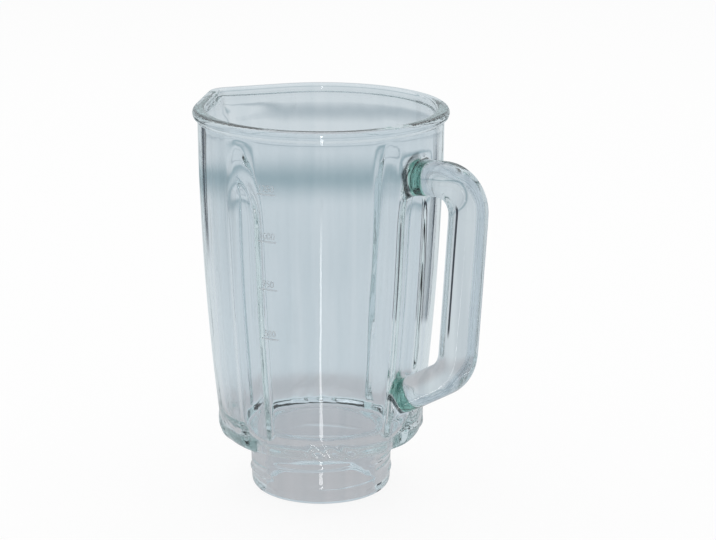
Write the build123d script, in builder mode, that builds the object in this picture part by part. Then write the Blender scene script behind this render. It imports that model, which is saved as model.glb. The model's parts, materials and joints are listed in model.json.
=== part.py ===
from build123d import *

import os
from math import acos, asin, atan2, cos, radians, sin, sqrt

# Blender jar: one piece of pressed glass with a fluted barrel body, a pouring spout,
# a threaded neck that takes the blade unit, and a solid handle.
# The origin is the centre of the foot ring, +Z is up, the handle is on +X and the spout on -X.

# Driving dimensions, in millimetres and degrees.
jar_height = 202.0
mouth_radius = 58.0
mouth_depth = 16.0
mouth_wall = 4.4
mouth_rounding = 2.0
rim_overhang = 2.6
rim_height = 5.0
rim_rounding = 2.4

wall_foot_radius = 51.8
wall_bulge = 2.5
wall_thickness = 4.2
body_corner = 6.0

neck_height = 28.5
neck_radius = 37.0
neck_taper = 0.8
neck_corner = 1.5
foot_rounding = 4.0
bore_radius = 28.5
bore_rounding = 2.0
floor_thickness = 4.0
floor_slope = 3.0
floor_corner = 9.0

flute_count = 4
flute_radius = 10.5
flute_depth = 4.3
flute_drop = 25.0
flute_run_out = 20.0
flute_turn = 60.0
flute_edge = 2.5
rib_edge = 3.0
flute_crease = 20.0

spout_reach = 9.0
spout_tip_radius = 9.0
spout_drop = 24.0
spout_sink = 0.6

handle_depth = 17.0
handle_width = 19.5
handle_rounding = 7.0
handle_drop = 19.5
handle_rise = 50.5
finger_gap_top = 23.8
finger_gap_foot = 22.4
arm_fall_top = 3.0
arm_fall_foot = 19.5
handle_top_bend = 15.0
handle_foot_bend = 19.0
handle_sink = 12.0
handle_flare = 2.5
handle_flare_tuck = 0.5

# Heights and offsets that follow from them.
wall_foot = neck_height
wall_top = jar_height - rim_height
wall_top_radius = mouth_radius + mouth_wall
rim_radius = wall_top_radius + rim_overhang
floor_height = neck_height + floor_thickness
mouth_foot = jar_height - mouth_depth
spout_foot = jar_height - spout_drop
spout_core = wall_top_radius - spout_tip_radius
spout_centre = spout_core + spout_reach
flute_top = wall_top - flute_drop
flute_offset = flute_radius - flute_depth
flute_bend = (flute_run_out**2 + flute_depth**2) / (2 * flute_depth)
handle_top = wall_top - handle_drop
handle_foot = neck_height + handle_rise


def wall_radius(height):
    """Outside radius of the barrel wall: a straight taper plus a bulge that is full half way up."""
    share = (height - wall_foot) / (wall_top - wall_foot)
    taper = wall_foot_radius + (wall_top_radius - wall_foot_radius) * share
    return taper + 4 * wall_bulge * share * (1 - share)


def wall_points(low, high, offset):
    """Three points on a meridian of the wall, moved out by an offset, for an arc."""
    return [(wall_radius(height) + offset, height) for height in (low, (low + high) / 2, high)]


def spout_section(radius, height):
    """Plan of the spout at one height: a wedge whose tip is pulled out of a ring of this radius."""
    pull = ((height - spout_foot) / spout_drop) ** 2
    ring = radius - spout_sink
    tip = radius - spout_core
    lean = acos(spout_core / spout_centre)
    corner = Vector(-spout_centre - tip * cos(lean), tip * sin(lean))
    corner_angle = atan2(corner.Y, -corner.X)

    def pulled(angle, full):
        rest = Vector(-ring * cos(angle), ring * sin(angle))
        return rest + (full - rest) * pull

    start = Vector(-ring * cos(lean), ring * sin(lean))
    middle = pulled((lean + corner_angle) / 2, (start + corner) * 0.5)
    end = pulled(corner_angle, corner)
    nose = pulled(0, Vector(-spout_centre - tip, 0))
    with BuildSketch(Plane.XY.offset(height)) as section:
        with BuildLine():
            side = Spline(start, middle, end)
            ThreePointArc(end, nose, (end.X, -end.Y))
            mirror(side, about=Plane.XZ)
            Line(start, (start.X, -start.Y))
        make_face()
    return section.sketch


def arm_end(corner, join_height):
    """End of a handle's arm, sunk past the wall's face so that the arm grows out of the glass."""
    join = Vector(wall_radius(join_height), join_height)
    end = join + (join - Vector(*corner)).normalized() * handle_sink
    return end.X, end.Y


def flare_sections(corner, join_height):
    """Two sections of an arm's root, which widens at 45 degrees into the wall, past the flute's bottom."""
    join = wall_radius(join_height)
    slope = (corner[1] - join_height) / (corner[0] - join)
    sections = []
    for past in (-handle_flare, flute_depth + handle_flare):
        grow = past + handle_flare - handle_flare_tuck
        root = Plane((join - past, 0, join_height - past * slope), x_dir=(0, 1, 0), z_dir=(1, 0, 0))
        with BuildSketch(root) as section:
            RectangleRounded(
                handle_width + 2 * grow,
                handle_depth * sqrt(1 + slope**2) + 2 * grow,
                handle_rounding + grow,
            )
        sections.append(section.sketch)
    return sections


# A flute's path runs beside the wall, then turns away from it so that the groove fades out.
with BuildLine(Plane.XZ) as flute_path:
    run = ThreePointArc(*wall_points(neck_height - body_corner, flute_top - flute_run_out, flute_offset))
    JernArc(run @ 1, run % 1, flute_bend, -flute_turn)
flute_start = Plane(flute_path.wire() @ 0, x_dir=(0, -1, 0), z_dir=flute_path.wire() % 0)


def flute_section(radius, edge, wall):
    """Cross-section of a flute's cutter: an arc, with lips that ease it into a wall of the given radius."""
    reach = radius + edge
    apart = radius - flute_depth + wall
    lean = acos((apart**2 + reach**2 - (wall - edge) ** 2) / (2 * apart * reach))
    fall = asin(reach * sin(lean) / (wall - edge))
    last = fall - radians(flute_crease)

    def lip(angle):
        return Vector(reach * sin(lean) + edge * sin(angle), edge * cos(angle) - reach * cos(lean))

    tail = lip(last) + Vector(cos(last), -sin(last)) * reach / 2
    with BuildSketch(flute_start) as section:
        with BuildLine() as half:
            ThreePointArc((0, -radius), (radius * sin(lean / 2), -radius * cos(lean / 2)), lip(-lean))
            ThreePointArc(lip(-lean), lip((last - lean) / 2), lip(last))
            Polyline(lip(last), tail, (0, tail.Y))
            mirror(half.line, about=Plane.YZ)
        make_face()
    return section.sketch


wall_middle = wall_radius((wall_foot + wall_top) / 2)
with BuildPart() as groove:
    add(flute_section(flute_radius, flute_edge, wall_middle))
    sweep(path=flute_path.wire())

with BuildPart() as rib:
    add(flute_section(flute_radius + wall_thickness, rib_edge, wall_middle - wall_thickness))
    sweep(path=flute_path.wire())

# Space inside the jar, with the ribs that back the flutes left standing.
with BuildPart() as cavity:
    with BuildSketch(Plane.XZ) as cavity_half:
        with BuildLine():
            wall_in = ThreePointArc(
                *wall_points(floor_height + floor_slope, mouth_foot, -wall_thickness)[:2],
                (mouth_radius, mouth_foot),
            )
            Polyline(
                wall_in @ 1,
                (mouth_radius, jar_height),
                (0, jar_height),
                (0, 0),
                (bore_radius, 0),
                (bore_radius, floor_height),
                wall_in @ 0,
            )
        make_face()
        fillet(cavity_half.vertices().sort_by_distance(wall_in @ 0)[0], floor_corner)
        fillet(cavity_half.vertices().sort_by_distance((bore_radius, floor_height))[0], bore_rounding)
    revolve()
    with PolarLocations(0, flute_count):
        add(rib.part, mode=Mode.SUBTRACT)
    spout_heights = (spout_foot, spout_foot + spout_drop / 2, jar_height)
    loft([spout_section(mouth_radius, height) for height in spout_heights])

with BuildPart() as glass_jar:
    # Body and neck, turned from one profile.
    with BuildSketch(Plane.XZ) as body_half:
        with BuildLine():
            wall_out = ThreePointArc(*wall_points(wall_foot, wall_top, 0))
            Polyline(
                wall_out @ 1,
                (0, wall_top),
                (0, 0),
                (neck_radius - neck_taper, 0),
                (neck_radius, neck_height),
                wall_out @ 0,
            )
        make_face()
        fillet(body_half.vertices().sort_by_distance(wall_out @ 0)[0], body_corner)
        fillet(body_half.vertices().sort_by_distance((neck_radius, neck_height))[0], neck_corner)
        fillet(body_half.vertices().sort_by_distance((neck_radius - neck_taper, 0))[0], foot_rounding)
    revolve()
    # Flutes in the wall.
    with PolarLocations(0, flute_count):
        add(groove.part, mode=Mode.SUBTRACT)
    # Spout and rim: the bead follows the hull of the rim's ring and the spout's tip.
    lip_heights = (spout_foot, spout_foot + spout_drop / 2, jar_height - rim_height / 2)
    loft([spout_section(wall_radius(height), height) for height in lip_heights])
    with BuildSketch(Plane.XY.offset(wall_top)):
        Circle(rim_radius)
        with Locations((-spout_centre, 0)):
            Circle(rim_radius - spout_core)
        make_hull()
    extrude(amount=rim_height)
    rim_faces = glass_jar.faces().filter_by(Axis.Z).filter_by_position(Axis.Z, wall_top, jar_height)
    fillet([edge for face in rim_faces for edge in face.outer_wire().edges()], rim_rounding)
    # Handle: a rounded bar bent in the plane of the jar's axis.
    top_corner = (wall_radius(handle_top) + finger_gap_top + handle_depth / 2, handle_top)
    foot_corner = (wall_radius(handle_foot) + finger_gap_foot + handle_depth / 2, handle_foot)
    with BuildLine(Plane.XZ) as handle_path:
        FilletPolyline(
            arm_end(top_corner, handle_top - arm_fall_top),
            top_corner,
            foot_corner,
            arm_end(foot_corner, handle_foot - arm_fall_foot),
            radius=[handle_top_bend, handle_foot_bend],
        )
    with BuildSketch(Plane(handle_path.line @ 0, x_dir=(0, 1, 0), z_dir=handle_path.line % 0)):
        RectangleRounded(handle_width, handle_depth, handle_rounding)
    sweep(path=handle_path.wire())
    loft(flare_sections(top_corner, handle_top - arm_fall_top))
    loft(flare_sections(foot_corner, handle_foot - arm_fall_foot))
    # The space inside, with its rounded mouth.
    add(cavity.part, mode=Mode.SUBTRACT)
    rim_top = glass_jar.faces().filter_by(Axis.Z).sort_by(Axis.Z)[-1]
    fillet(rim_top.inner_wires().edges(), mouth_rounding)

glass_jar.part.label = "glass_jar"
os.makedirs("parts", exist_ok=True)
export_step(glass_jar.part, "parts/glass_jar.step")
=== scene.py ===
# %% [markdown]
# A pressed-glass blender jar, modelled as one continuous skin of glass.
#
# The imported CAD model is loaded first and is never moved. It gives the frame: metres,
# +Z up, the origin at the centre of the foot ring, the handle on +X and the spout on -X.
# Glass shows both of its faces, so the jar is made as one closed skin with an even,
# orderly mesh, and that skin stands in for the CAD node.

import json
from math import acos, atan2, cos, degrees, hypot, pi, radians, sin, sqrt, tan

import bmesh
import bpy
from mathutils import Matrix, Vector

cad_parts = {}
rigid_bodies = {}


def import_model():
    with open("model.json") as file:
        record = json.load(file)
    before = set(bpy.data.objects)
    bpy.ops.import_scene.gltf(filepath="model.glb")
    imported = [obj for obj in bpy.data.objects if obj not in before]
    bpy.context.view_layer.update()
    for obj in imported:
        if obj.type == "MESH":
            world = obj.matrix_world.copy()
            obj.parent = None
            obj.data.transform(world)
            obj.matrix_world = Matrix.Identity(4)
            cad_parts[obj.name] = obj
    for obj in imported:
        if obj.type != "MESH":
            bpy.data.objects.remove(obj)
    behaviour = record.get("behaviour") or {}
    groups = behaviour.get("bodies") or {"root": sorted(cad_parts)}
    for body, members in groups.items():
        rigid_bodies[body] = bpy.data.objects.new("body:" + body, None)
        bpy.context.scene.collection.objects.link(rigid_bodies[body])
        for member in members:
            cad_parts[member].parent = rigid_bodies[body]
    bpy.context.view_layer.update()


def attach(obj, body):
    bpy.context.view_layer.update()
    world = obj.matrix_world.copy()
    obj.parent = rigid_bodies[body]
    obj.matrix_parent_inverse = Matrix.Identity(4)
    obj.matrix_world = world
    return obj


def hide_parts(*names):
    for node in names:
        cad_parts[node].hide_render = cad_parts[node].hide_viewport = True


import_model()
mm = 0.001

# %% [markdown]
# The sizes are those of the real jar, in millimetres, and follow the CAD source. Only the
# inner floor differs: it lies 1.5 mm lower and meets the wall in a larger rounding, so that
# its edge shows nearer to its place in the photograph. The wall leans out as it rises and
# swells a little half way up, like a barrel, so one formula gives its radius anywhere.

# %% Sizes of the jar
jar_height = 202.0
mouth_radius, mouth_wall = 58.0, 4.4
rim_overhang, rim_height = 2.6, 5.0
wall_foot_radius, wall_bulge, wall_thickness = 51.8, 2.5, 4.2
neck_height, neck_radius, neck_taper = 28.5, 37.0, 0.8
bore_radius = 28.5
floor_height, floor_slope = 31.0, 3.0
floor_edge_height = floor_height + floor_slope
wall_top = jar_height - rim_height
wall_top_radius = mouth_radius + mouth_wall
rim_radius = wall_top_radius + rim_overhang


def wall_radius(height):
    """Outside radius of the barrel wall at a height."""
    share = (height - neck_height) / (wall_top - neck_height)
    taper = wall_foot_radius + (wall_top_radius - wall_foot_radius) * share
    return taper + 4 * wall_bulge * share * (1 - share)


print("wall radius at mid height:", round(wall_radius((neck_height + wall_top) / 2), 2), "mm")

# %% [markdown]
# Modelling by hand in Blender means: go into edit mode, pick something, act on it.
# Three small helpers do the picking here, where the mouse would: one clears every
# selection, one selects the vertices, edges or faces that pass a test, and one makes such a
# test from a place.

# %% Helpers for picking by place
def clear_selection():
    """Leave edit mode and deselect everything."""
    if bpy.context.object and bpy.context.object.mode == "EDIT":
        bpy.ops.object.mode_set(mode="OBJECT")
    bpy.ops.object.select_all(action="DESELECT")


def choose(test, kind="VERT", facing=None):
    """Select, in edit mode, what passes a test of its middle, given in millimetres.

    With a direction to face, only what points that way is taken.
    """
    bpy.ops.mesh.select_mode(type=kind)
    bpy.ops.mesh.select_all(action="DESELECT")
    mesh = bpy.context.edit_object.data
    shape = bmesh.from_edit_mesh(mesh)
    items = {"VERT": shape.verts, "EDGE": shape.edges, "FACE": shape.faces}[kind]
    count = 0
    for item in items:
        corners = [item] if kind == "VERT" else item.verts
        middle = sum((corner.co for corner in corners), Vector()) / len(corners) / mm
        if test(middle) and (facing is None or item.normal.dot(facing) > 0):
            item.select_set(True)
            count += 1
    shape.select_flush_mode()
    bmesh.update_edit_mesh(mesh)
    return count


def near(place, reach=0.05):
    """A test for choose: within reach of a place."""
    spot = Vector(place)
    return lambda middle: (middle - spot).length < reach


clear_selection()
print("objects still selected:", len(bpy.context.selected_objects))

# %% [markdown]
# The body is a turned form, so it could be a cylinder that is cut and pushed about. A
# lathe is truer: the section of the glass is drawn once as a line and then spun. The
# line goes up the outside, over the rim, down the inside and back along the bore.
# Rows lie close together on the neck and where the handle's arms will grow out.

# %% Draw the section of the glass as a line
def rows(low, high, count):
    """Heights from low to high, both included."""
    return [low + (high - low) * step / count for step in range(count + 1)]


neck_rows = rows(5.5, 26.0, 14)
corner_rows, shoulder_rows = [36.8, 39.0, 41.2], [191.5]
lower_root, upper_root = (46.6, 72.4), (163.1, 185.9)
lower_root_rows, upper_root_rows = [rows(*root, 8) for root in (lower_root, upper_root)]
grip_rows = rows(lower_root[1], upper_root[0], 12)[1:-1]
outer_rows = corner_rows + lower_root_rows + grip_rows + upper_root_rows + shoulder_rows
inner_rows = [196.0, 191.0, 186.0] + rows(178.0, 50.0, 16)
bore_rows = [22.0, 12.0]
floor_start = (wall_radius(floor_edge_height) - wall_thickness, floor_edge_height)
floor_middle = (34.5, floor_height + 0.9)

section = [(bore_radius, 0), (neck_radius - neck_taper, 0)]
section += [(neck_radius - neck_taper * (1 - z / neck_height), z) for z in neck_rows]
section += [(neck_radius, neck_height), (wall_foot_radius, neck_height)]
section += [(wall_radius(z), z) for z in outer_rows]
section += [(wall_top_radius, wall_top), (rim_radius, wall_top)]
section += [(rim_radius, jar_height), (mouth_radius, jar_height)]
section += [(min(mouth_radius, wall_radius(z) - wall_thickness), z) for z in inner_rows]
section += [floor_start, floor_middle, (bore_radius, floor_height)]
section += [(bore_radius, z) for z in bore_rows]

clear_selection()
bpy.ops.mesh.primitive_plane_add(size=mm)
jar = bpy.context.object
jar.name = jar.data.name = "glass_jar_skin"
bpy.ops.object.mode_set(mode="EDIT")
bpy.ops.mesh.merge(type="CENTER")
points = [Vector((r * mm, 0, z * mm)) for r, z in section]
bpy.ops.transform.translate(value=points[0])
for here, there in zip(points, points[1:]):
    bpy.ops.mesh.extrude_vertices_move(TRANSFORM_OT_translate={"value": there - here})
ends = [near(points[0] / mm), near(points[-1] / mm)]
choose(lambda middle: ends[0](middle) or ends[1](middle))
bpy.ops.mesh.edge_face_add()
print("section drawn with", len(points), "points")

# %% [markdown]
# Pressed glass has no sharp corner anywhere: the mould is rounded, and the hot glass
# softens what is left. A vertex bevel rounds each corner of the line, by the radius in
# millimetres and the number of segments in its row of the table.

# %% Round the section's corners
roundings = [
    ((bore_radius, 0), 0.7, 2),
    ((neck_radius - neck_taper, 0), 4.0, 5),
    ((neck_radius, neck_height), 1.5, 3),
    ((wall_foot_radius, neck_height), 6.0, 5),
    ((wall_top_radius, wall_top), 1.0, 2),
    ((rim_radius, wall_top), 2.4, 4),
    ((rim_radius, jar_height), 2.4, 4),
    ((mouth_radius, jar_height), 2.0, 4),
    (floor_start, 12.5, 9),
    ((bore_radius, floor_height), 2.0, 3),
]
for (r, z), radius, segments in roundings:
    choose(near((r, 0, z)))
    bpy.ops.mesh.bevel(offset=radius * mm, segments=segments, profile=0.5, affect="VERTICES")
print("section has", len(bmesh.from_edit_mesh(jar.data).verts), "points after rounding")

# %% [markdown]
# The line is spun round the jar's axis, as clay is turned on a wheel. A Screw modifier
# would take equal steps all round. Spinning in stages gives finer steps in the four places
# where flutes will be pressed into the wall: handle, spout and half way between.

# %% Spin the section into the body
flute_zone, flute_steps = radians(30), 18
plain_zone, plain_steps = radians(60), 24
merge_reach = 0.01 * mm
bpy.ops.mesh.select_all(action="SELECT")
turns = [(flute_zone / 2, flute_steps // 2)]
turns += [(plain_zone, plain_steps), (flute_zone, flute_steps)] * 3
turns += [(plain_zone, plain_steps), (flute_zone / 2, flute_steps // 2)]
for angle, steps in turns:
    bpy.ops.mesh.spin(steps=steps, angle=angle, center=(0, 0, 0), axis=(0, 0, 1))
bpy.ops.mesh.select_all(action="SELECT")
bpy.ops.mesh.remove_doubles(threshold=merge_reach)
bpy.ops.mesh.normals_make_consistent(inside=False)
bpy.ops.object.mode_set(mode="OBJECT")
print("body:", len(jar.data.vertices), "vertices,", len(jar.data.polygons), "faces")

# %% [markdown]
# Flutes, spout, thread and bars are all places where the mould pushes the skin in or out.
# They could be cut with booleans, but that tears up an orderly mesh. Here a vertex group
# says how much each vertex takes part, as weight painting would, and a Displace modifier
# moves the skin by that share and is applied.

# %% Helper that presses a shape into the skin
least_share = 0.001


def press(piece, name, direction, depth, share):
    """Move vertices along a direction by depth, in mm, times the share each one has."""
    clear_selection()
    piece.select_set(True)
    bpy.context.view_layer.objects.active = piece
    group = piece.vertex_groups.new(name=name)
    touched = 0
    for vertex in piece.data.vertices:
        weight = share(vertex.co / mm, vertex.normal)
        if weight > least_share:
            group.add([vertex.index], min(weight, 1.0), "REPLACE")
            touched += 1
    pressing = piece.modifiers.new(name, "DISPLACE")
    pressing.vertex_group = name
    pressing.direction = direction
    pressing.mid_level = 0
    pressing.strength = depth * mm
    bpy.ops.object.modifier_apply(modifier=name)
    piece.vertex_groups.clear()
    print(name, "moved", touched, "vertices by up to", abs(depth), "mm")


def soft_positive(value, ease):
    """The value where it is above zero, eased in over a small width."""
    if value < -ease:
        return 0.0
    return max(value, 0) + max(ease - abs(value), 0) ** 2 / (4 * ease)


print("an edge eased over 1 mm moves", soft_positive(0.0, 1.0), "mm where it would be sharp")

# %% [markdown]
# Each flute is a round groove down the wall, backed by a rib inside so that the glass
# keeps its thickness. The groove runs off the bottom corner and fades out in an arch
# near the top. A vertex of the wall is moved straight in until it lies on the groove.

# %% Press the four flutes and their ribs
flute_radius, flute_depth, flute_top, flute_run_out = 10.5, 4.3, 172.0, 20.0
flute_bend = (flute_run_out**2 + flute_depth**2) / (2 * flute_depth)
flute_lip, rib_lip = 1.2, 1.6
push_limit = flute_depth + 1.5


def flute_share(side):
    """Share of the push for the flute on the side a unit vector points to."""
    across = Vector((-side.y, side.x, 0))

    def share(place, normal):
        out, along, z = place.dot(side), place.dot(across), place.z
        outward = Vector((place.x, place.y, 0)).normalized()
        outside = normal.dot(outward) > normal.z
        radius = flute_radius if outside else flute_radius + wall_thickness
        rise = max(0.0, z - (flute_top - flute_run_out))
        if out < bore_radius or abs(along) >= radius or rise > flute_bend:
            return 0.0
        lift = flute_bend - sqrt(flute_bend**2 - rise**2)
        centre = wall_radius(z) + flute_radius - flute_depth + lift
        groove = centre - sqrt(radius**2 - along**2)
        return soft_positive(out - groove, flute_lip if outside else rib_lip) / push_limit

    return share


flute_sides = {"handle": (1, 0, 0), "left": (0, 1, 0), "spout": (-1, 0, 0), "right": (0, -1, 0)}
for name, direction in flute_sides.items():
    side = Vector(direction)
    axis, sign = ("X", side.x) if side.x else ("Y", side.y)
    press(jar, f"{name}_flute", axis, -push_limit * sign, flute_share(side))

# %% [markdown]
# The spout is the rim drawn out to a rounded point. In plan it is the outline of a
# string pulled round the rim and a small circle, and the pull fades down the wall.
# Dragging one vertex with proportional editing gives a rounder bump with no straight
# sides, so the pull of each vertex is worked out from that outline.

# %% Pull the spout out of the rim
spout_reach, spout_tip_radius, spout_drop = 9.0, 9.0, 24.0
spout_core = wall_top_radius - spout_tip_radius
spout_centre = spout_core + spout_reach
spout_spread = acos(spout_core / spout_centre)


def spout_share(place, normal):
    """Share of the pull for a vertex on the spout's side."""
    ring = hypot(place.x, place.y)
    angle = abs(atan2(place.y, -place.x))
    if angle >= spout_spread or ring < spout_core or place.z < jar_height - spout_drop:
        return 0.0
    fade = min(1.0, (place.z - jar_height + spout_drop) / (spout_drop - rim_height))
    tip = ring - spout_core
    pull = ring * (1 - cos(spout_spread - angle)) / cos(spout_spread)
    if abs(place.y) < tip * sin(spout_spread):
        pull = spout_centre + sqrt(tip**2 - place.y**2) - ring * cos(angle)
    return fade**2 * pull / spout_reach


press(jar, "spout", "X", -spout_reach, spout_share)

# %% [markdown]
# The handle is a solid bar of glass bent in the plane of the jar's axis. It could be a
# curve with a bevel, but bending it by hand gives a neat ring of the same vertices all
# the way. Its middle line comes first: two arms, a grip and the two bends between them.

# %% Work out the handle's line
handle_depth, handle_width, handle_rounding = 17.0, 19.5, 7.0
half_depth, half_width = handle_depth / 2, handle_width / 2
top_join, top_corner_height, top_bend = 174.5, 177.5, 15.0
foot_join, foot_corner_height, foot_bend = 59.5, 79.0, 19.0
finger_gap_top, finger_gap_foot = 23.8, 22.4
root_gap = 4.6


def flat(x, z):
    """A point of the handle's plane, in metres."""
    return Vector((x, 0, z)) * mm


top_corner = flat(wall_radius(top_corner_height) + finger_gap_top + half_depth, top_corner_height)
foot_corner = flat(wall_radius(foot_corner_height) + finger_gap_foot + half_depth, foot_corner_height)
top_root = flat(wall_radius(top_join), top_join)
foot_root = flat(wall_radius(foot_join), foot_join)
top_arm = (top_corner - top_root).normalized()
grip = (foot_corner - top_corner).normalized()
foot_arm = (foot_root - foot_corner).normalized()
top_turn, foot_turn = top_arm.angle(grip), grip.angle(foot_arm)
top_trim = top_bend * mm * tan(top_turn / 2)
foot_trim = foot_bend * mm * tan(foot_turn / 2)
arm_start = top_root + top_arm * root_gap * mm
arm_end = foot_root - foot_arm * root_gap * mm
print("handle bends by", round(degrees(top_turn), 1), "and", round(degrees(foot_turn), 1), "degrees")

# %% [markdown]
# The bar is a rounded rectangle in section, as the mould's two halves leave it. A plane is
# scaled to its size, its corners are bevelled and its sides cut, so that it has as many
# vertices as the edge of the window in the wall that it will join.

# %% Draw the bar's section at the upper arm
touching, centred = 0.01, 0.1
clear_selection()
bpy.ops.mesh.primitive_plane_add(size=1)
handle = bpy.context.object
handle.name = handle.data.name = "handle_bar"
handle.scale = (handle_depth * mm, handle_width * mm, 1)
bpy.ops.object.transform_apply(location=False, rotation=False, scale=True)
bpy.ops.object.mode_set(mode="EDIT")
bpy.ops.mesh.select_all(action="SELECT")
bpy.ops.mesh.bevel(offset=handle_rounding * mm, segments=6, profile=0.5, affect="VERTICES")
bpy.ops.mesh.delete(type="ONLY_FACE")
choose(lambda middle: abs(abs(middle.x) - half_depth) < touching and abs(middle.y) < centred, "EDGE")
bpy.ops.mesh.subdivide(number_cuts=7)
choose(lambda middle: abs(abs(middle.y) - half_width) < touching and abs(middle.x) < centred, "EDGE")
bpy.ops.mesh.subdivide(number_cuts=1)
bpy.ops.object.mode_set(mode="OBJECT")
handle.rotation_euler = (0, atan2(top_arm.x, top_arm.z), 0)
handle.location = arm_start
bpy.ops.object.transform_apply(location=True, rotation=True, scale=False)
print("bar section has", len(handle.data.vertices), "vertices")

# %% [markdown]
# The bar turns twice on its way back to the wall. Extruding the open end makes each
# straight run, and spinning it makes each bend, so the section stays true all the way.

# %% Extrude and spin the bar to the lower arm
bpy.ops.object.mode_set(mode="EDIT")
bpy.ops.mesh.select_mode(type="EDGE")
bpy.ops.mesh.select_all(action="SELECT")


def run_straight(start, end, steps):
    """Extrude the bar's open end from start to end."""
    for step in range(steps):
        bpy.ops.mesh.extrude_edges_move(TRANSFORM_OT_translate={"value": (end - start) / steps})


def run_bend(start, heading, radius, turn, steps):
    """Spin the bar's open end round a bend towards the jar."""
    inward = Vector((heading.z, 0, -heading.x))
    centre = start + inward * radius * mm
    bpy.ops.mesh.spin(steps=steps, angle=-turn, center=centre, axis=(0, 1, 0))


run_straight(arm_start, top_corner - top_arm * top_trim, 4)
run_bend(top_corner - top_arm * top_trim, top_arm, top_bend, top_turn, 9)
run_straight(top_corner + grip * top_trim, foot_corner - grip * foot_trim, 9)
run_bend(foot_corner - grip * foot_trim, grip, foot_bend, foot_turn, 7)
run_straight(foot_corner + foot_arm * foot_trim, arm_end, 4)
bpy.ops.object.mode_set(mode="OBJECT")
bar_x = [vertex.co.x / mm for vertex in handle.data.vertices]
print("handle reaches x =", round(max(bar_x), 2), "mm with", len(handle.data.vertices), "vertices")

# %% [markdown]
# The handle is the same glass as the wall, so there is no face between them. A boolean
# union would leave a hard seam, so a window is opened in the wall at each arm instead, and
# the bar becomes part of the same mesh.

# %% Open the wall at the arms
root_half_angle = radians(11.7)


def root_window(heights):
    """A test for choose: what lies between these heights on the handle's side."""

    def test(middle):
        between = heights[0] < middle.z < heights[-1] and middle.x > bore_radius
        return between and abs(atan2(middle.y, middle.x)) < root_half_angle

    return test


clear_selection()
jar.select_set(True)
bpy.context.view_layer.objects.active = jar
bpy.ops.object.mode_set(mode="EDIT")
for heights in (lower_root_rows, upper_root_rows):
    print("window of", choose(root_window(heights), "FACE", facing=Vector((1, 0, 0))), "faces")
    bpy.ops.mesh.delete(type="FACE")
bpy.ops.object.mode_set(mode="OBJECT")
handle.select_set(True)
bpy.ops.object.join()
bpy.ops.object.mode_set(mode="EDIT")

# %% [markdown]
# Glass flows into the corner between arm and wall and leaves a soft fillet. A bridge from
# the window's edge to the bar's end, with a few cuts that follow both surfaces, gives it.

# %% Bridge the arms to the wall
root_zones = ((30, 110), (110, 200))


def open_edges(low, high):
    """Select the open edges whose height is between low and high."""
    bpy.ops.mesh.select_mode(type="EDGE")
    bpy.ops.mesh.select_all(action="DESELECT")
    shape = bmesh.from_edit_mesh(jar.data)
    count = 0
    for edge in shape.edges:
        height = (edge.verts[0].co.z + edge.verts[1].co.z) / 2 / mm
        if edge.is_boundary and low < height < high:
            edge.select_set(True)
            count += 1
    bmesh.update_edit_mesh(jar.data)
    return count


for low, high in root_zones:
    print("bridging", open_edges(low, high), "open edges")
    bpy.ops.mesh.bridge_edge_loops(number_cuts=3, interpolation="SURFACE", smoothness=0.8)
bpy.ops.mesh.select_all(action="SELECT")
bpy.ops.mesh.normals_make_consistent(inside=False)
bpy.ops.object.mode_set(mode="OBJECT")

# %% [markdown]
# Fire polishing leaves the glass without a facet, and a facet would show at once, because
# every face bends the light. One level of Subdivision Surface rounds the mesh and is
# applied, so that finer shapes can be pressed into the smooth skin afterwards.

# %% Smooth the whole skin
smooth = jar.modifiers.new("smooth_skin", "SUBSURF")
smooth.levels = smooth.render_levels = 1
bpy.ops.object.modifier_apply(modifier="smooth_skin")
bpy.ops.object.shade_smooth()
print("skin:", sum(len(face.vertices) - 2 for face in jar.data.polygons), "triangles")

# %% [markdown]
# A screw collar holds the blade unit on the neck. It runs on coarse right-handed ridges,
# four to a row in two rows, each one soft on top and fading out at its ends. They could be
# swept along a helix, but moulded glass has no edge there, so they are pressed out of the
# smoothed skin.

# %% Press the thread's ridges out of the neck
thread_lead, ridge_height, ridge_half_width = 10.0, 0.65, 1.7
ridge_spacing, ridge_half_length, ridge_end = 90.0, 44.0, 24.0
ridge_rows = ((-63.0, 20.2), (-38.0, 10.2))
neck_inner, neck_outer, thread_limit = neck_radius - 2, neck_radius + 1, neck_height - 1


def thread_share(place, normal):
    """Share of a ridge's height for a vertex on the outside of the neck."""
    ring = hypot(place.x, place.y)
    if not neck_inner < ring < neck_outer or place.z > thread_limit:
        return 0.0
    share = 0.0
    for middle, ridge_place in ridge_rows:
        turned = degrees(atan2(place.y, place.x)) - middle
        off = (turned + ridge_spacing / 2) % ridge_spacing - ridge_spacing / 2
        across = abs(place.z - ridge_place - thread_lead * off / 360) / ridge_half_width
        along = min(1.0, max(0.0, (ridge_half_length - abs(off)) / ridge_end))
        if across < 1:
            share = max(share, (1 - across**2) ** 2 * along * along * (3 - 2 * along))
    return share


press(jar, "thread", "NORMAL", ridge_height, thread_share)

# %% [markdown]
# On the lower corner of each lobe, between two flutes, the mould has three slanting bars,
# which help the glass to grip its seat. They are low and rounded like leaves, so they too
# are pressed out of the smoothed skin and are not separate pieces.

# %% Press the slanting bars out of the lower corner
bar_pitch, bar_half_width, bar_half_height = 8.2, 3.6, 6.5
bar_middle, bar_slant, bar_relief = 34.6, 0.74, 0.9
lobe_spacing, bar_inner = 90.0, neck_radius + 4


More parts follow.
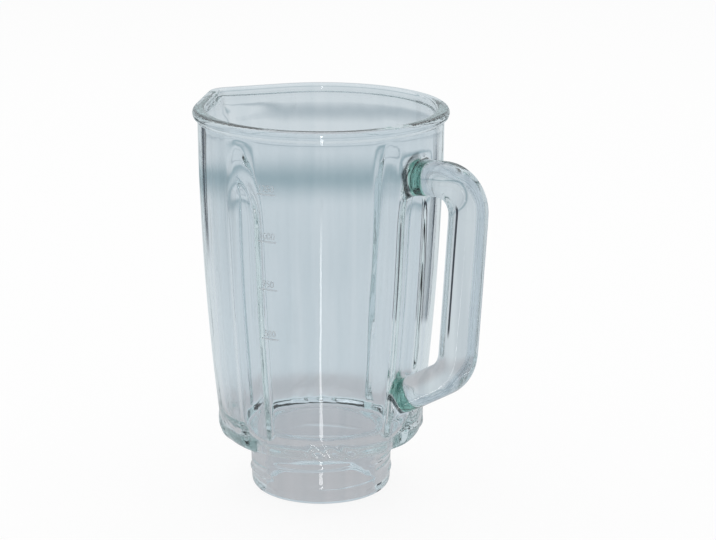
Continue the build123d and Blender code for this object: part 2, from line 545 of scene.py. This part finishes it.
def bar_share(place, normal):
    """Share of a bar's height for a vertex near the body's lower corner."""
    ring = hypot(place.x, place.y)
    above = (place.z - bar_middle) / bar_half_height
    outward = Vector((place.x, place.y, 0)) / ring
    if abs(above) >= 1 or ring < bar_inner or normal.dot(outward) < normal.z:
        return 0.0
    off = degrees(atan2(place.y, place.x)) % lobe_spacing - lobe_spacing / 2
    along = radians(off) * ring + bar_slant * (place.z - bar_middle)
    nearest = min((-bar_pitch, 0.0, bar_pitch), key=lambda middle: abs(along - middle))
    across = (along - nearest) / bar_half_width
    return max(0.0, 1 - across**2 - above**2)


press(jar, "slanting_bars", "NORMAL", bar_relief, bar_share)

# %% [markdown]
# A measuring scale stands proud of the wall: a short line and a number at every quarter
# of a litre. Spacing the lines evenly would be wrong in a jar that widens, so the heights
# come from the volume of the space inside, added up slice by slice.

# %% Find the heights of the scale
cubic_mm_per_millilitre, slice_height = 1000, 0.1


def filled_height(millilitres):
    """Height at which the jar holds this volume above its floor."""
    volume, level = 0.0, floor_edge_height
    while volume < millilitres * cubic_mm_per_millilitre:
        volume += pi * (wall_radius(level) - wall_thickness) ** 2 * slice_height
        level += slice_height
    return level


scale_volumes = (500, 750, 1000, 1250)
scale_heights = {volume: filled_height(volume) for volume in scale_volumes}
print("scale heights:", {volume: round(level, 1) for volume, level in scale_heights.items()})

# %% [markdown]
# The figures are cut into the mould, so they belong to the wall's curve. They are drawn
# flat first, each line as a grid and each number as text made into a mesh, and stood
# upright in front of the wall.

# %% Draw the scale flat, in front of the wall
scale_angle, scale_line, scale_stroke = radians(-75.5), 11.5, 0.8
number_size, number_lift = 5.0, 1.2
scale_out = Vector((cos(scale_angle), sin(scale_angle), 0))
scale_stand_off = 72.0
scale_pieces = []


def stand_up(piece, level):
    """Turn a flat piece upright, put it in front of the wall and apply its place."""
    piece.rotation_euler = (pi / 2, 0, scale_angle + pi / 2)
    piece.location = (scale_out * scale_stand_off + Vector((0, 0, level))) * mm
    bpy.ops.object.transform_apply(location=True, rotation=True, scale=True)
    scale_pieces.append(piece)


for volume, level in scale_heights.items():
    clear_selection()
    bpy.ops.mesh.primitive_grid_add(x_subdivisions=12, y_subdivisions=1, size=1)
    line = bpy.context.object
    line.scale = (scale_line * mm, scale_stroke * mm, 1)
    stand_up(line, level)
    clear_selection()
    bpy.ops.object.text_add()
    number = bpy.context.object
    number.data.body = f"{volume}"
    number.data.size = number_size * mm
    number.data.align_x = "CENTER"
    number.data.offset_y = number_lift * mm
    bpy.ops.object.convert(target="MESH")
    stand_up(bpy.context.object, level)
print("scale drawn in", len(scale_pieces), "pieces")

# %% [markdown]
# A Shrinkwrap modifier lays the flat figures on the curved wall, where projecting them by
# hand would stretch them, and Solidify gives them the thickness that catches the light.

# %% Wrap the scale onto the wall
figure_height, figure_thickness = 0.3, 0.36
clear_selection()
for piece in scale_pieces:
    piece.select_set(True)
scale = scale_pieces[0]
bpy.context.view_layer.objects.active = scale
bpy.ops.object.join()
scale.name = scale.data.name = "raised_scale"
bpy.ops.object.mode_set(mode="EDIT")
bpy.ops.mesh.select_all(action="SELECT")
bpy.ops.mesh.remove_doubles(threshold=merge_reach)
bpy.ops.object.mode_set(mode="OBJECT")
wrap = scale.modifiers.new("wrap", "SHRINKWRAP")
wrap.target = jar
wrap.wrap_method = "NEAREST_SURFACEPOINT"
wrap.offset = figure_height * mm
thicken = scale.modifiers.new("thicken", "SOLIDIFY")
thicken.thickness = figure_thickness * mm
thicken.offset = -1
for modifier in ("wrap", "thicken"):
    bpy.ops.object.modifier_apply(modifier=modifier)
print("scale:", len(scale.data.polygons), "faces")

# %% [markdown]
# Materials are built from nodes, which could all be added and linked one by one. To keep
# them readable, a small class wraps a node's socket, so that ordinary arithmetic on it
# adds the Math nodes.

# %% Helper for arithmetic on sockets
class Wire:
    """A node's socket that takes part in arithmetic."""

    def __init__(self, recipe, socket):
        self.recipe, self.socket = recipe, socket

    def maths(self, operation, first, second):
        return self.recipe.node("ShaderNodeMath", {"operation": operation}, {0: first, 1: second})

    def __add__(self, other):
        return self.maths("ADD", self, other)

    def __sub__(self, other):
        return self.maths("SUBTRACT", self, other)

    def __rsub__(self, other):
        return self.maths("SUBTRACT", other, self)

    def __mul__(self, other):
        return self.maths("MULTIPLY", self, other)

    def __pow__(self, other):
        return self.maths("POWER", self, other)

    __radd__, __rmul__ = __add__, __mul__


# %% [markdown]
# A second class holds the node tree that is being filled. One method adds any node from
# its type, its settings and what goes into its sockets. Two more name what a material
# needs again and again: a smooth step, and a mix of two colours.

# %% Helper that adds nodes
class Recipe:
    """The empty node tree of a material or a world, filled by expressions."""

    def __init__(self, owner):
        owner.use_nodes = True
        self.tree = owner.node_tree
        self.tree.nodes.clear()

    def node(self, kind, settings=None, inputs=None, output=0):
        """Add a node, set it up, feed its sockets and return one of its outputs."""
        made = self.tree.nodes.new(kind)
        for name, value in (settings or {}).items():
            setattr(made, name, value)
        for name, value in (inputs or {}).items():
            if isinstance(value, Wire):
                self.tree.links.new(value.socket, made.inputs[name])
            else:
                made.inputs[name].default_value = value
        return Wire(self, made.outputs[output]) if made.outputs else None

    def ramp(self, value, low, high):
        """A smooth step of a value from low to high, 0 below and 1 above."""
        limits = {"Value": value, "From Min": low, "From Max": high}
        return self.node("ShaderNodeMapRange", {"interpolation_type": "SMOOTHSTEP"}, limits)

    def blend(self, share, first, second):
        """Mix two colours."""
        colours = {"Factor": share, 6: first, 7: second}
        return self.node("ShaderNodeMix", {"data_type": "RGBA"}, colours, output=2)


# %% [markdown]
# Clear glass is nearly all refraction, so its look comes from what it bends the light
# towards. What it has of its own is placed first: upright streaks where the melt flowed in
# the mould, and the handle. The two roots, where light travels far along the bar and the
# iron in the glass shows as deep green, get masks for painted green shade. Each root has two
# masks, on the front of the arm only, because the same green on the back would show through
# the bar a second time.

# %% Streaks and places in the clear glass
noise_low, noise_high = 0.3, 0.7
handle_start, handle_full = 0.066, 0.072
root_stretch, root_line = (0.002, 0.009, 0.001), (-0.0004, 0.001, 0.0008)
arm_edge, arm_clear = 0.012, 0.0135
front_full, front_end = -0.001, 0.002
glass = bpy.data.materials.new("clear_glass")
melt = Recipe(glass)
place = melt.node("ShaderNodeTexCoord", output="Object")
across_x, across_y, height = [
    melt.node("ShaderNodeSeparateXYZ", inputs={"Vector": place}, output=axis) for axis in "XYZ"
]


def streaks(stretch, fineness):
    """Noise between 0 and 1, drawn out where its coordinates are squeezed."""
    drawn = melt.node("ShaderNodeMapping", inputs={"Vector": place, "Scale": stretch})
    noise = melt.node("ShaderNodeTexNoise", inputs={"Vector": drawn, "Scale": fineness, "Detail": 2.0})
    return melt.ramp(noise, noise_low, noise_high)


def between(value, low, high, ease):
    """1 from low to high, fading to 0 within a small width outside."""
    return melt.ramp(value, low - ease, low) * (1 - melt.ramp(value, high, high + ease))


def at_arm(join, arm):
    """Two masks on an arm's front for painted shade: its first stretch, and a line where it leaves the
    wall.
    """
    out, up = across_x - join.x, height - join.z
    along = out * arm.x + up * arm.z
    off = ((out * arm.z - up * arm.x) ** 2 + across_y**2) ** 0.5
    in_front = 1 - melt.ramp(across_y, front_full, front_end)
    close = (1 - melt.ramp(off, arm_edge, arm_clear)) * in_front
    return between(along, *root_stretch) * close, between(along, *root_line) * close


on_handle = melt.ramp(across_x, handle_start, handle_full)
top_stretch, top_line = at_arm(top_root, top_arm)
foot_stretch, foot_line = at_arm(foot_root, -foot_arm)
mould_waves = streaks((1, 1, 0.05), 70.0)
flow_streaks = streaks((1, 1, 0.02), 150.0)
root_streaks = streaks((1, 0.2, 0.2), 500.0)
print("places and streaks take", len(glass.node_tree.nodes), "nodes")

# %% [markdown]
# The wall has a faint blue-grey tint. The solid handle has a darker one, its streaks the
# glass's own and its darker level painted shade. The roots carry painted green shade, with a
# painted dark line of shade where the arm leaves the wall. A slight bump gives the waves of
# the mould, patches of faint smears dull the polish, and absorption in the volume turns
# long ways through the glass green, as a colour on the surface alone could not.

# %% Clear glass
wall_tint = melt.blend(flow_streaks, (0.85, 0.885, 0.91, 1), (0.91, 0.93, 0.95, 1))
# partly painted shade: the handle's streaks are the melt's own, its darker level is painted shade
shaded_handle_tint = melt.blend(flow_streaks, (0.62, 0.66, 0.70, 1), (0.90, 0.92, 0.94, 1))
# painted shade: a dark line where each arm leaves the wall
join_shade_line = (0.015, 0.022, 0.024, 1)
# painted green shade on the front of each root, for light piped far along the bar
root_green_shade = melt.blend(root_streaks, (0.006, 0.07, 0.05, 1), (0.14, 0.42, 0.33, 1))
tint = melt.blend(on_handle, wall_tint, shaded_handle_tint)
tint = melt.blend(top_stretch + foot_stretch, tint, root_green_shade)
tint = melt.blend(top_line + foot_line, tint, join_shade_line)
relief = melt.node("ShaderNodeBump", inputs={"Height": mould_waves, "Strength": 0.1, "Distance": 0.001})
smears = melt.node("ShaderNodeTexNoise", inputs={"Vector": place, "Scale": 35.0, "Detail": 4.0})
surface = melt.node(
    "ShaderNodeBsdfPrincipled",
    inputs={
        "Base Color": tint,
        "Roughness": 0.02 * melt.ramp(smears, 0.5, 0.75),
        "IOR": 1.5,
        "Transmission Weight": 1.0,
        "Normal": relief,
    },
)
iron = melt.node("ShaderNodeVolumeAbsorption", inputs={"Color": (0.4, 0.75, 0.7, 1), "Density": 1.8})
melt.node("ShaderNodeOutputMaterial", inputs={"Surface": surface, "Volume": iron})
jar.data.materials.clear()
jar.data.materials.append(glass)
print("clear glass has", len(glass.node_tree.nodes), "nodes")

# %% [markdown]
# The raised figures catch the light on their edges and look a little whiter than the
# wall, so their glass is duller and lets part of the light straight through.

# %% Dull glass of the scale
dull = bpy.data.materials.new("dull_glass")
figures = Recipe(dull)
spot = figures.node("ShaderNodeTexCoord", output="Object")
speckle = figures.node("ShaderNodeTexNoise", inputs={"Vector": spot, "Scale": 900.0, "Detail": 2.0})
whiteness = figures.blend(speckle, (0.80, 0.85, 0.88, 1), (0.93, 0.95, 0.97, 1))
figure_surface = figures.node(
    "ShaderNodeBsdfPrincipled",
    inputs={
        "Base Color": whiteness,
        "Roughness": 0.25 + 0.2 * speckle,
        "IOR": 1.5,
        "Transmission Weight": 0.6,
        "Alpha": 0.6,
    },
)
figures.node("ShaderNodeOutputMaterial", inputs={"Surface": figure_surface})
scale.data.materials.clear()
scale.data.materials.append(dull)
print("dull glass has", len(dull.node_tree.nodes), "nodes")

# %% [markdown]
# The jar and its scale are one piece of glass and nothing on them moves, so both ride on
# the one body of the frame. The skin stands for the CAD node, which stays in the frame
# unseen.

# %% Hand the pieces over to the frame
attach(jar, "root")
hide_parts("glass_jar")
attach(scale, "root")
print("pieces handed over:", jar.name, "and", scale.name)

# %% [markdown]
# The jar stands on white paper in an even white light, as in a light tent. The camera
# sees the paper as plain white with the jar's soft shadow. For rays that come by way of
# glass the white is taken down to the half shade of a tent, with two soft teal rings of
# painted shade, which show as bands in the wall, and a grey patch of painted shade under the
# foot. Real shades would do the same, but they would stand in the picture, so Light Path
# tells the two kinds of ray apart.

# %% Levels of the white surroundings
paper_white, glow, ambient = 0.9, 0.9, 0.62
tent_level, tent_tint = 0.76, (0.89, 0.965, 1.0, 1)
# painted shade: two soft teal rings on the paper, seen only by way of glass
shade_rings = ((0.708, 0.115, (0.40, 0.54, 0.59, 1)), (0.985, 0.06, (0.55, 0.64, 0.69, 1)))
foot_shade, foot_inner, foot_outer = (0.70, 0.70, 0.72, 1), 0.1, 0.2


def ray_kinds(recipe):
    """Two masks: rays from the camera, and rays that come by way of glass."""
    kinds = ("Camera", "Glossy", "Transmission")
    camera_ray, glossy_ray, clear_ray = [
        recipe.node("ShaderNodeLightPath", output=f"Is {kind} Ray") for kind in kinds
    ]
    return camera_ray, glossy_ray.maths("MAXIMUM", glossy_ray, clear_ray)


print("glass sees the white at", round(tent_level / paper_white, 2), "of the paper's own")

# %% [markdown]
# The paper is matt and faintly fibrous. A share of it glows, so that the camera gets an even
# white without more light on the jar, and the matt rest keeps the jar's shadow.

# %% White paper floor
fibre_contrast = 0.02
clear_selection()
bpy.ops.mesh.primitive_plane_add(size=8)
floor = bpy.context.object
floor.name = floor.data.name = "paper_floor"
paper = bpy.data.materials.new("white_paper")
sheet = Recipe(paper)
to_camera, to_glass = ray_kinds(sheet)
spot = sheet.node("ShaderNodeTexCoord", output="Object")
reach = sheet.node("ShaderNodeVectorMath", {"operation": "LENGTH"}, {0: spot}, output="Value")
# painted shade: a grey patch under the foot and two rings, laid over the tent's half shade
tone = sheet.blend(sheet.ramp(reach, foot_inner, foot_outer), foot_shade, tent_tint)
for radius, width, ring_shade in shade_rings:
    off = reach.maths("ABSOLUTE", reach - radius, 0.0)
    tone = sheet.blend(sheet.ramp(off, 0.0, width), ring_shade, tone)
tone = sheet.blend(to_camera, tone, (1, 1, 1, 1))
fibres = sheet.node("ShaderNodeTexNoise", inputs={"Vector": spot, "Scale": 900.0})
levels = (paper_white - fibre_contrast, paper_white + fibre_contrast)
white = [(level, level, level, 1) for level in levels]
matt = sheet.node("ShaderNodeBsdfDiffuse", inputs={"Color": sheet.blend(fibres, *white)})
even = to_camera + to_glass * tent_level
light = sheet.node("ShaderNodeEmission", inputs={"Color": tone, "Strength": even})
share = glow * (to_camera + to_glass)
mixed = sheet.node("ShaderNodeMixShader", inputs={0: share, 1: matt, 2: light})
sheet.node("ShaderNodeOutputMaterial", inputs={"Surface": mixed})
floor.data.materials.append(paper)
print("paper floor is", floor.dimensions.x, "m wide")

# %% [markdown]
# Clear glass on white would vanish, so narrow dark boards stand round it, out of the
# picture. The glass bends its edges towards them, and that draws its thin dark lines. Plain
# boards would also show straight through the jar, as dark shapes. So the cloth reads Light
# Path: it is clear to light that has crossed many faces of glass, and the cloth for edges is
# also clear to light that was not mirrored inside the glass.

# %% Cloth of the boards
hard_end, soft_end = 0.05, 0.3


def board_cloth(name, thickness, fade, faces=4, turns=0):
    """Dark cloth with fading sides.

    It is seen through no more than a number of faces of glass, after at least a number of
    turns by reflection inside the glass.
    """
    felt = bpy.data.materials.new(name)
    cloth = Recipe(felt)
    spread = cloth.node("ShaderNodeTexCoord", output="UV")
    sideways, upwards = [
        cloth.node("ShaderNodeSeparateXYZ", inputs={"Vector": spread}, output=axis) for axis in "XY"
    ]
    sides = cloth.ramp(sideways, 0.0, fade) * (1 - cloth.ramp(sideways, 1 - fade, 1.0))
    ends = cloth.ramp(upwards, 0.0, hard_end) * (1 - cloth.ramp(upwards, 1 - soft_end, 1.0))
    fibre = cloth.node("ShaderNodeTexNoise", inputs={"Vector": spread, "Scale": 60.0})
    colour = cloth.blend(fibre, (0.003, 0.006, 0.018, 1), (0.012, 0.018, 0.04, 1))
    dark = cloth.node("ShaderNodeBsdfDiffuse", inputs={"Color": colour})
    clear = cloth.node("ShaderNodeBsdfTransparent")
    crossed, turned = [
        cloth.node("ShaderNodeLightPath", output=f"{kind} Depth") for kind in ("Transmission", "Glossy")
    ]
    few_faces = crossed.maths("LESS_THAN", crossed, faces + 0.5)
    turned_enough = turned.maths("GREATER_THAN", turned, turns - 0.5)
    cover = thickness * sides * ends * few_faces * turned_enough
    mixed = cloth.node("ShaderNodeMixShader", inputs={0: cover, 1: clear, 2: dark})
    cloth.node("ShaderNodeOutputMaterial", inputs={"Surface": mixed})
    print(name, "covers", thickness, "and is seen through up to", faces, "faces")
    return felt


dark_felt = board_cloth("dark_felt", 1.0, 0.05, faces=2)
edge_felt = board_cloth("edge_felt", 0.9, 0.2, faces=2, turns=1)
thin_gauze = board_cloth("thin_gauze", 0.14, 0.4)

# %% [markdown]
# Each board stands at the bearing in which the edge it darkens looks: one for the handle's
# inner line, one for the edges of each flute in view and one for the left side. A wide thin
# gauze takes a little light from the left panel. Bearings are degrees to the right of the view.

# %% Stand the boards round the jar
camera_place, camera_aim = Vector((0.7315, -0.8718, 0.436)), Vector((0, 0, 0.105))
towards_camera = Vector((camera_place.x, camera_place.y, 0)).normalized()
to_the_right = Vector((-towards_camera.y, towards_camera.x, 0))
board_distance = 0.28


def add_board(name, cloth, bearing, width, low, high, soft_end_down=False):
    """An upright board at a bearing, seen only by way of glass."""
    clear_selection()
    turn = radians(bearing)
    spot = (to_the_right * sin(turn) - towards_camera * cos(turn)) * board_distance
    bpy.ops.mesh.primitive_plane_add(size=1, location=(spot.x, spot.y, (low + high) / 2))
    board = bpy.context.object
    board.name = board.data.name = name
    board.rotation_euler = (pi / 2, pi if soft_end_down else 0, atan2(spot.y, spot.x) + pi / 2)
    board.scale = (width, high - low, 1)
    bpy.ops.object.transform_apply(location=True, rotation=True, scale=True)
    board.data.materials.append(cloth)
    board.visible_camera = board.visible_shadow = board.visible_diffuse = False
    print(name, "stands at", bearing, "degrees and is", width, "m wide")


add_board("handle_board", dark_felt, 53, 0.048, 0.0, 0.16)
add_board("right_edge_board", edge_felt, 83, 0.09, 0.0, 0.13)
add_board("left_edge_board", edge_felt, -90, 0.05, 0.0, 0.13)
add_board("left_board", edge_felt, -47, 0.06, 0.04, 0.17, soft_end_down=True)
add_board("panel_board", thin_gauze, -30, 0.15, 0.0, 0.24, soft_end_down=True)

# %% [markdown]
# A narrow window or lamp in front of glass leaves a white line down its middle. A lamp
# would also light the jar, so a strip of bright card lies on the paper instead. It narrows
# towards the jar and fades away from it, and only reflections see it.

# %% Bright card
card_near, card_far, card_width, card_lift = 0.06, 0.62, 0.018, 0.001
card_taper, card_level, fade_start = 0.25, 7.0, 0.5
clear_selection()
card_middle = towards_camera * (card_near + card_far) / 2
bpy.ops.mesh.primitive_plane_add(size=1, location=(card_middle.x, card_middle.y, card_lift))
card = bpy.context.object
card.name = card.data.name = "bright_card"
card.rotation_euler = (0, 0, atan2(towards_camera.y, towards_camera.x))
card.scale = (card_far - card_near, card_width, 1)
bpy.ops.object.transform_apply(location=True, rotation=True, scale=True)
near_end = towards_camera * card_near
bpy.ops.object.mode_set(mode="EDIT")
choose(lambda middle: (middle * mm - near_end).length < card_width)
bpy.ops.transform.resize(value=(card_taper, card_taper, 1), center_override=near_end)
bpy.ops.object.mode_set(mode="OBJECT")
print("bright card is", round(card_far - card_near, 2), "m long")

# %% Light of the bright card
shine = bpy.data.materials.new("bright_card")
glare = Recipe(shine)
spread = glare.node("ShaderNodeTexCoord", output="UV")
along = glare.node("ShaderNodeSeparateXYZ", inputs={"Vector": spread}, output="X")
fading = card_level * (1 - glare.ramp(along, fade_start, 1.0))
beam = glare.node("ShaderNodeEmission", inputs={"Color": (1, 1, 1, 1), "Strength": fading})
glare.node("ShaderNodeOutputMaterial", inputs={"Surface": beam})
card.data.materials.append(shine)
card.visible_camera = card.visible_shadow = card.visible_diffuse = card.visible_transmission = False
print("bright card shines at", card_level, "where it is nearest")

# %% [markdown]
# The world gives the soft light from all round, white to the camera and in half shade to the
# glass. Light is bent and mirrored many times in thick glass, so the limits on bounces are
# raised, or the edges would turn black.

# %% World
world = bpy.data.worlds.new("studio")
bpy.context.scene.world = world
air = Recipe(world)
to_camera, to_glass = ray_kinds(air)
strength = ambient + (1 - ambient) * to_camera + (tent_level - ambient) * to_glass
tone = air.blend(to_glass, (1, 1, 1, 1), tent_tint)
sky = air.node("ShaderNodeBackground", inputs={"Color": tone, "Strength": strength})
air.node("ShaderNodeOutputWorld", inputs={"Surface": sky})
bpy.context.scene.view_settings.view_transform = "Standard"
bpy.context.scene.cycles.max_bounces = 40
bpy.context.scene.cycles.glossy_bounces = 24
bpy.context.scene.cycles.transmission_bounces = 32
print("world lights the jar at", ambient)

# %% [markdown]
# A large lamp overhead models the form and the shadow, and a tall narrow one behind the
# camera puts the small white marks on the rim. Seen through the glass they would add white
# arcs to what is behind them, so rays through glass don't see them.

# %% Lamps
lamp_aim = Vector((0, 0, 0.1))


def add_softbox(name, spot, width, box_height, watts):
    """A soft rectangular lamp that points at the jar."""
    bpy.ops.object.light_add(type="AREA", location=spot)
    lamp = bpy.context.object
    lamp.name = lamp.data.name = name
    lamp.data.shape = "RECTANGLE"
    lamp.data.size, lamp.data.size_y = width, box_height
    lamp.data.energy = watts
    lamp.rotation_euler = (lamp_aim - Vector(spot)).to_track_quat("-Z", "Y").to_euler()
    lamp.visible_camera = lamp.visible_transmission = False
    print(name, "gives", watts, "W")


add_softbox("top_softbox", (-0.3, 0.2, 1.4), 2.4, 2.4, 14)
add_softbox("front_strip", towards_camera * 2.4 + Vector((0, 0, 1.0)), 0.05, 2.0, 4.5)

# %% [markdown]
# The camera stands where the photograph was taken from: a little above the rim, level with
# the gap between spout and handle, with a long lens that keeps the sides nearly parallel.

# %% Camera
lens_length, film_width = 115.4, 36
frame_shift = (0.0517, 0.0286)
bpy.ops.object.camera_add(location=camera_place)
camera = bpy.context.object
camera.name = "photo_camera"
camera.rotation_euler = (camera_aim - camera_place).to_track_quat("-Z", "Y").to_euler()
camera.data.lens = lens_length
camera.data.sensor_width = film_width
camera.data.shift_x, camera.data.shift_y = frame_shift
bpy.context.scene.camera = camera
print("camera stands", round(camera_place.length, 2), "m away, with a lens of", lens_length, "mm")
